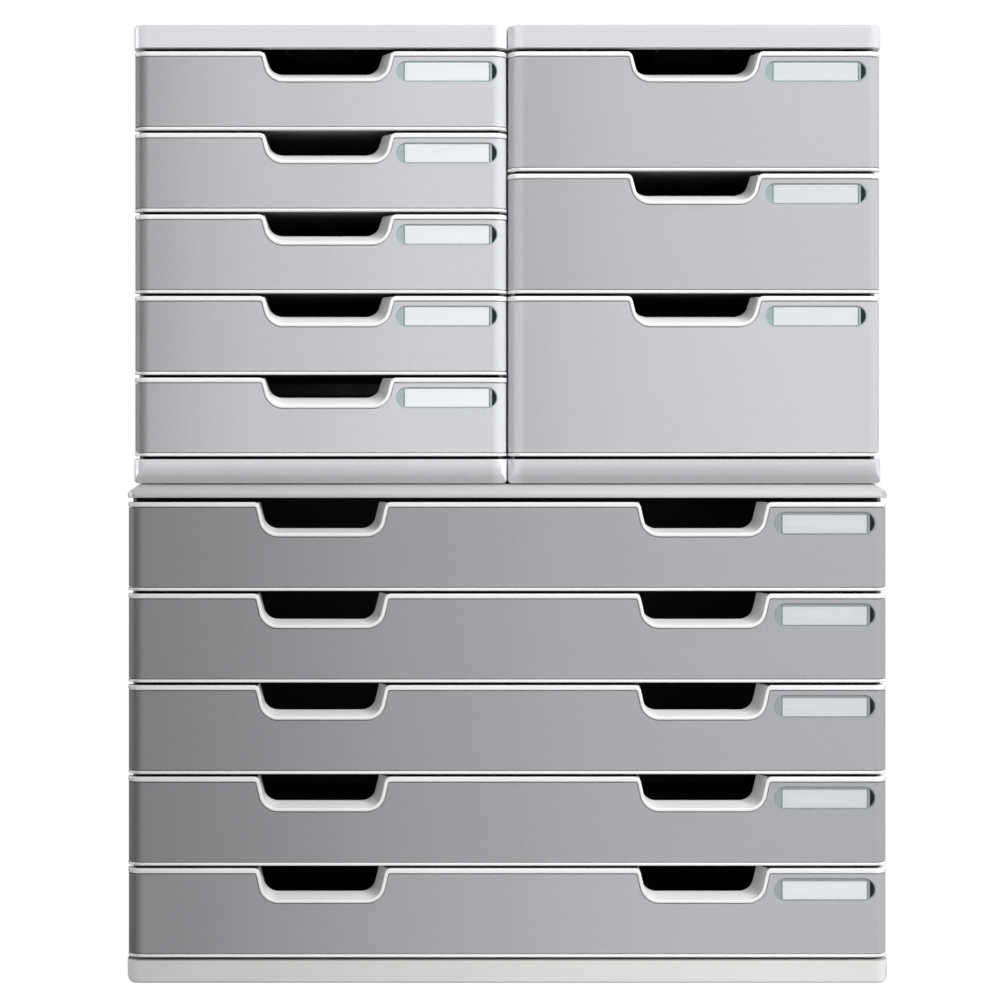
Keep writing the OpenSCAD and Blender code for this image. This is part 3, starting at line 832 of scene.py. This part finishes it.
def moulded_plastic(
    name, base, roughness, cloud=0.02, grain=0.6, depth=0.012, tone=None, dust_and_painted_light=0.0, specular=0.5
):
    """Injection-moulded polystyrene: an even colour, faint flow clouds, a fine spark-eroded grain.

    cloud is the clouds' share of the tone; the grain's width and depth are in millimetres. tone is
    the unit, tones and bends of a graded tone: painted shade across the unit and painted light and
    shade round its ends. dust makes what faces upwards matt and paints it darker, as painted shade;
    a negative dust paints it lighter, as painted light.
    """
    material, tree, surface = blank_material(
        name, {"Roughness": roughness, "IOR": 1.59, "Specular IOR Level": specular}
    )
    place = add_node(tree, "TexCoord").outputs["Object"]
    # Flow clouds about 60 mm across, a little lighter and darker than the colour.
    level = mottled(tree, place, 0.06, 3.0, 1 - cloud, 1 + cloud)[1]
    # Painted shade across the unit, and painted light and shade round its ends.
    factors = [graded(tree, place, *tone)] if tone else []
    # Faces that look up are made matt and painted darker as painted shade, lighter where dust is
    # negative.
    if dust_and_painted_light:
        normal = add_node(tree, "NewGeometry").outputs["Normal"]
        upwards = add_node(tree, "SeparateXYZ", {"Vector": normal}).outputs["Z"]
        painted_top_tone, matt = (
            add_node(tree, "MapRange", {
                "Value": upwards, "To Min": upright, "To Max": lying,
            }).outputs["Result"]
            for upright, lying in ((1.0, 1 - dust_and_painted_light), (roughness, MATT))
        )
        factors.append(painted_top_tone)
        fill_inputs(tree, surface, {"Roughness": matt})
    for factor in factors:
        product = add_node(tree, "Math", {0: level, 1: factor}, operation="MULTIPLY")
        level = product.outputs["Value"]
    tint = add_node(tree, "HueSaturation", {"Value": level, "Color": base})
    speck = add_node(tree, "TexNoise", {"Vector": place, "Scale": 1000 / grain, "Detail": 2.0})
    bump = add_node(tree, "Bump", {
        "Height": speck.outputs["Fac"], "Distance": depth / 1000, "Strength": 0.6,
    })
    fill_inputs(tree, surface, {
        "Base Color": tint.outputs["Color"], "Normal": bump.outputs["Normal"],
    })
    return material


def fascia_film(name, base, unit, painted_level):
    """Grained grey plastic film, pressed with a leather-like grain: matt, with a fine speckle.

    Painted shade darkens the film towards the left, with painted light and shade where it bends
    round the ends; the level given for its drawer is painted light.
    """
    material, tree, surface = blank_material(name, {"Roughness": 0.5, "IOR": 1.5})
    place = add_node(tree, "TexCoord").outputs["Object"]
    # The speckle is 4.5 per cent lighter and darker. The real grain is about 0.4 mm wide; it is
    # drawn at 1 mm so that it shows.
    grain, speckle = mottled(tree, place, 0.001, 3.0, 0.955 * painted_level, 1.045 * painted_level, roughness=0.6)
    # Painted shade across the unit, and painted light and shade round the ends of the front.
    tone = graded(tree, place, unit, FILM_PAINTED_SHADE[unit], FILM_BEND_PAINTED_LIGHT[unit])
    level = add_node(tree, "Math", {0: tone, 1: speckle}, operation="MULTIPLY")
    tint = add_node(tree, "HueSaturation", {"Value": level.outputs["Value"], "Color": base})
    bump = add_node(tree, "Bump", {"Height": grain, "Distance": 0.00006, "Strength": 0.7})
    fill_inputs(tree, surface, {
        "Base Color": tint.outputs["Color"], "Normal": bump.outputs["Normal"],
    })
    return material


def clear_plastic(name, base):
    """Clear styrene, polished and thin: sharp reflections and a breath of blue-green."""
    material, tree, surface = blank_material(
        name, {"Base Color": base, "Roughness": 0.12, "IOR": 1.57, "Alpha": 0.16}
    )
    place = add_node(tree, "TexCoord").outputs["Object"]
    # Sink marks about 12 mm across make its reflections waver.
    waves = add_node(tree, "TexNoise", {"Vector": place, "Scale": 1 / 0.012, "Detail": 1.0})
    bump = add_node(tree, "Bump", {
        "Height": waves.outputs["Fac"], "Distance": 0.00008, "Strength": 0.5,
    })
    fill_inputs(tree, surface, {"Normal": bump.outputs["Normal"]})
    return material


def card_stock(name, base, painted_level):
    """Uncoated white card, 200 g: matt, with a faint fibre mottle. Its drawer's level is painted
    light.
    """
    material, tree, surface = blank_material(name, {"Roughness": MATT, "IOR": 1.45})
    place = add_node(tree, "TexCoord").outputs["Object"]
    # Fibres 0.6 mm wide and about 1.5 mm long, which lie mostly along the card.
    stretched = add_node(tree, "Mapping", {"Vector": place, "Scale": (0.4, 1.0, 1.0)})
    level = mottled(tree, stretched.outputs["Vector"], 0.0006, 3.0, 0.985 * painted_level, 1.01 * painted_level)[1]
    tint = add_node(tree, "HueSaturation", {"Value": level, "Color": base})
    fill_inputs(tree, surface, {"Base Color": tint.outputs["Color"]})
    return material


class DRAWERS_OT_front_frames(Operator):
    """Model the white frame of every drawer front, with its bead and lips"""

    bl_idname = "drawers.front_frames"
    bl_label = "Front frames"

    def execute(self, context):
        # Each unit's white frame gets painted shade across it, and painted light and shade round
        # its ends.
        whites = {
            unit: moulded_plastic(
                f"White polystyrene, {unit}", context.scene.finishes.white,
                roughness=0.38, cloud=0.01, grain=0.5, depth=0.01,
                tone=(unit, FRAME_PAINTED_SHADE[unit], FRAME_BEND_PAINTED_LIGHT[unit]),
            )
            for unit in DRAWERS
        }
        each_drawer(front_frame, "white_plastic", lambda drawer: whites[drawer.unit], "front")
        return {"FINISHED"}


class DRAWERS_OT_fascias(Operator):
    """Model the grained grey fascia of every drawer"""

    bl_idname = "drawers.fascias"
    bl_label = "Fascias"

    def execute(self, context):
        colours = context.scene.finishes
        # Lighter and darker copies of the film for the lowest and the other drawers: painted light.
        films = {
            (unit, lowest): fascia_film(
                f"Grained film, {unit}, {'lowest' if lowest else 'other'}",
                colours.chest_fascia if unit == "chest" else colours.upper_fascia,
                unit, FILM_DRAWER_PAINTED_LIGHT[unit][0 if lowest else 1],
            )
            for unit in DRAWERS
            for lowest in (False, True)
        }
        each_drawer(
            fascia, lambda drawer: "chest_fascia" if drawer.unit == "chest" else "upper_fascia",
            lambda drawer: films[drawer.unit, drawer.lowest], "fascia",
        )
        return {"FINISHED"}


class DRAWERS_OT_labels(Operator):
    """Model the label of every drawer: holder, blank card, slot and clear window"""

    bl_idname = "drawers.labels"
    bl_label = "Labels"

    def execute(self, context):
        colours = context.scene.finishes
        # Near-black painted shade for the slot's floor and the holder's ribs.
        shaded = moulded_plastic(
            "Tinted styrene, shaded", colours.slot,
            roughness=0.5, grain=2.0, depth=0.01, specular=0.2,
        )
        holders = {
            unit: (
                moulded_plastic(
                    f"Tinted styrene, {unit}", getattr(colours, unit + "_holder"),
                    roughness=0.2, grain=2.0, depth=0.01,
                ),
                shaded,
            )
            for unit in DRAWERS
        }
        # Lighter and darker copies of the card for the lowest and the other drawers: painted light.
        cards = {
            (unit, lowest): card_stock(
                f"White card, {unit}, {'lowest' if lowest else 'other'}", colours.card,
                CARD_DRAWER_PAINTED_LIGHT[unit][0 if lowest else 1],
            )
            for unit in DRAWERS
            for lowest in (False, True)
        }
        clear = clear_plastic("Clear styrene", colours.window)
        for build, slot, finish in (
            (label_holder, "label_window", lambda drawer: holders[drawer.unit]),
            (card_slot, "label_window", shaded),
            (label_card, "label_card", lambda drawer: cards[drawer.unit, drawer.lowest]),
            (label_window, "label_window", clear),
        ):
            each_drawer(build, slot, finish, "front", tall=False)
        return {"FINISHED"}


class DRAWERS_OT_trays(Operator):
    """Model the sliding tray of every drawer"""

    bl_idname = "drawers.trays"
    bl_label = "Trays"

    def execute(self, context):
        base = context.scene.finishes.tray
        grey = moulded_plastic("Grey polystyrene, satin", base, roughness=0.45)
        each_drawer(tray, "tray_plastic", grey, "tray")
        return {"FINISHED"}


class DRAWERS_OT_cases(Operator):
    """Model the covers and bases, and finish the panels, pegs and feet"""

    bl_idname = "drawers.cases"
    bl_label = "Cases"

    def execute(self, context):
        colours, sizes = context.scene.finishes, context.scene.case_sizes
        # Near-black painted shade for the covers' ribbed undersides.
        inside = moulded_plastic(
            "Painted shade, matt", colours.inside, roughness=0.8, specular=0.1
        )
        rubber = moulded_plastic(
            "Grey rubber", colours.rubber, roughness=0.8, cloud=0.05, grain=0.8, depth=0.03
        )
        for unit in DRAWERS:
            wide = unit == "chest"
            # Cover, base and panels are lighter and darker copies of one plastic, painted light,
            # with painted shade across the unit and round its ends; dust paints upward faces
            # darker.
            cover, base, panel = (
                moulded_plastic(
                    f"Light grey polystyrene, {unit} {part}",
                    colours.chest_case if wide else colours.upper_case,
                    roughness=0.28, cloud=0.012,
                    tone=(unit, [(where, tone * painted_level) for where, tone in CASE_PAINTED_SHADE[unit]], bends),
                    dust_and_painted_light=CHEST_COVER_PAINTED_LIGHT if wide and part == "cover" else DUST_AND_PAINTED_SHADE,
                )
                for part, painted_level, bends in (
                    ("cover", CASE_PART_PAINTED_LIGHT[unit][0], CASE_BEND_PAINTED_LIGHT[unit]),
                    ("base", CASE_PART_PAINTED_LIGHT[unit][1], CASE_BEND_PAINTED_LIGHT[unit]),
                    ("panels", 1, (1, 1)),
                )
            )
            if wide:
                above = tuple(sizes.chest_cover)
                under, under_front = (sizes.chest_base,), (sizes.chest_base_front,)
            else:
                above, under = (sizes.upper_cover,), (sizes.upper_base,)
                under_front = tuple(sizes.upper_base_front)
            for part, sides, front, finish in (
                ("cover", above, above, cover), ("base", under, under_front, base)
            ):
                node = f"{unit}_{part}"
                piece = moulding(node, sides, front, part == "cover")
                carry(piece, node + ".moulding", "root", "case_plastic", (finish, inside), node)
            for part in ("left_side", "right_side", "back"):
                dress(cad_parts[f"{unit}_{part}"], panel)
            dress(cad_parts[unit + ("_feet" if wide else "_pegs")], rubber)
        return {"FINISHED"}


def dress(piece, materials):
    """Gives a piece its finish, or its finishes by the index of each face."""
    chosen = materials if isinstance(materials, tuple) else (materials,)
    slots = piece.data.materials
    while len(slots) > len(chosen):
        slots.pop()
    for k, material in enumerate(chosen):
        if k < len(slots):
            slots[k] = material
        else:
            slots.append(material)


def softbox(name, place, aim, size, power):
    """A square studio lamp that points at a place."""
    deselect()
    bpy.ops.object.light_add(type="AREA", location=place)
    lamp = bpy.context.object
    lamp.name = name
    lamp.data.size = size
    lamp.data.energy = power
    lamp.rotation_euler = (Vector(aim) - Vector(place)).to_track_quat("-Z", "Y").to_euler()


class DRAWERS_OT_stage(Operator):
    """Set up the floor, the studio light and the camera"""

    bl_idname = "drawers.stage"
    bl_label = "Stage"

    def execute(self, context):
        sizes = context.scene.stage_sizes
        deselect()
        bpy.ops.mesh.primitive_plane_add(size=sizes.floor)
        floor = context.object
        floor.name = "floor"
        material, tree, surface = blank_material(
            "White paper sweep", {"Base Color": linear("BFBFBF"), "Roughness": 0.9}
        )
        # To the camera the paper burns out to white, and keeps a trace of the shadow.
        rays = add_node(tree, "LightPath").outputs
        share = {0: rays["Is Camera Ray"], 1: FLOOR_SHARE}
        seen = add_node(tree, "Math", share, operation="MULTIPLY")
        glow = add_node(tree, "Emission", {"Strength": FLOOR_GLOW})
        mix = add_node(tree, "MixShader", {
            0: seen.outputs["Value"], 1: surface.outputs["BSDF"], 2: glow.outputs["Emission"],
        })
        tree.links.new(mix.outputs["Shader"], tree.nodes["Material Output"].inputs["Surface"])
        floor.data.materials.append(material)

        world = bpy.data.worlds.new("Studio")
        context.scene.world = world
        world.use_nodes = True
        tree = world.node_tree
        tree.nodes.clear()
        rays = add_node(tree, "LightPath").outputs
        seen = rays["Is Camera Ray"]
        for kind in ("Is Glossy Ray", "Is Transmission Ray"):
            either = add_node(tree, "Math", {0: seen, 1: rays[kind]}, operation="MAXIMUM")
            seen = either.outputs["Value"]
        ambient = add_node(tree, "Background", {"Color": (1, 1, 1, 1), "Strength": AMBIENT})
        # What plastic mirrors is white around the stack and dim above it.
        place = add_node(tree, "TexCoord").outputs["Generated"]
        height = add_node(tree, "SeparateXYZ", {"Vector": place}).outputs["Z"]
        mirrored = add_node(tree, "MapRange", {
            "Value": height, "From Min": 0.1, "From Max": 0.6, "To Min": 1.0, "To Max": 0.3,
        })
        level = add_node(tree, "Math", {
            0: mirrored.outputs["Result"], 1: rays["Is Camera Ray"],
        }, operation="MAXIMUM")
        backdrop = add_node(tree, "Background", {
            "Color": (1, 1, 1, 1), "Strength": level.outputs["Value"],
        })
        mix = add_node(tree, "MixShader", {
            0: seen, 1: ambient.outputs["Background"], 2: backdrop.outputs["Background"],
        })
        output = add_node(tree, "OutputWorld")
        tree.links.new(mix.outputs["Shader"], output.inputs["Surface"])

        for name, lamp in LAMPS.items():
            softbox(name, *lamp)

        deselect()
        bpy.ops.object.camera_add(location=sizes.camera, rotation=(math.pi / 2, 0, 0))
        camera = context.object
        camera.name = "camera"
        camera.data.lens = sizes.lens
        camera.data.sensor_width = 36.0
        camera.data.shift_x = sizes.shift_x
        camera.data.shift_y = sizes.shift_y
        camera.data.clip_start = 0.05
        context.scene.camera = camera
        context.scene.view_settings.view_transform = "Standard"
        return {"FINISHED"}


class DRAWERS_PT_panel(Panel):
    """Sidebar panel that lists the pieces, their sizes and their colours"""

    bl_idname = "DRAWERS_PT_panel"
    bl_label = "Desktop drawers"
    bl_space_type = "VIEW_3D"
    bl_region_type = "UI"
    bl_category = "Drawers"

    def draw(self, context):
        for operator in OPERATORS:
            self.layout.operator(operator.bl_idname)
        for group in GROUPS:
            box = self.layout.box()
            box.label(text=group)
            values = getattr(context.scene, group)
            for name in values.bl_rna.properties.keys():
                if name not in ("rna_type", "name"):
                    box.prop(values, name)


GROUPS = {
    "front_sizes": FrontSizes,
    "notch_sizes": NotchSizes,
    "label_sizes": LabelSizes,
    "case_sizes": CaseSizes,
    "finishes": Finishes,
    "stage_sizes": StageSizes,
}
OPERATORS = (
    DRAWERS_OT_front_frames,
    DRAWERS_OT_fascias,
    DRAWERS_OT_labels,
    DRAWERS_OT_trays,
    DRAWERS_OT_cases,
    DRAWERS_OT_stage,
)


def register():
    for name, group in GROUPS.items():
        bpy.utils.register_class(group)
        setattr(bpy.types.Scene, name, PointerProperty(type=group))
    for kind in (*OPERATORS, DRAWERS_PT_panel):
        bpy.utils.register_class(kind)


def unregister():
    for kind in (DRAWERS_PT_panel, *reversed(OPERATORS)):
        bpy.utils.unregister_class(kind)
    for name, group in GROUPS.items():
        delattr(bpy.types.Scene, name)
        bpy.utils.unregister_class(group)


def main():
    register()
    bpy.ops.drawers.front_frames()
    bpy.ops.drawers.fascias()
    bpy.ops.drawers.labels()
    bpy.ops.drawers.trays()
    bpy.ops.drawers.cases()
    bpy.ops.drawers.stage()


if __name__ == "__main__":
    main()
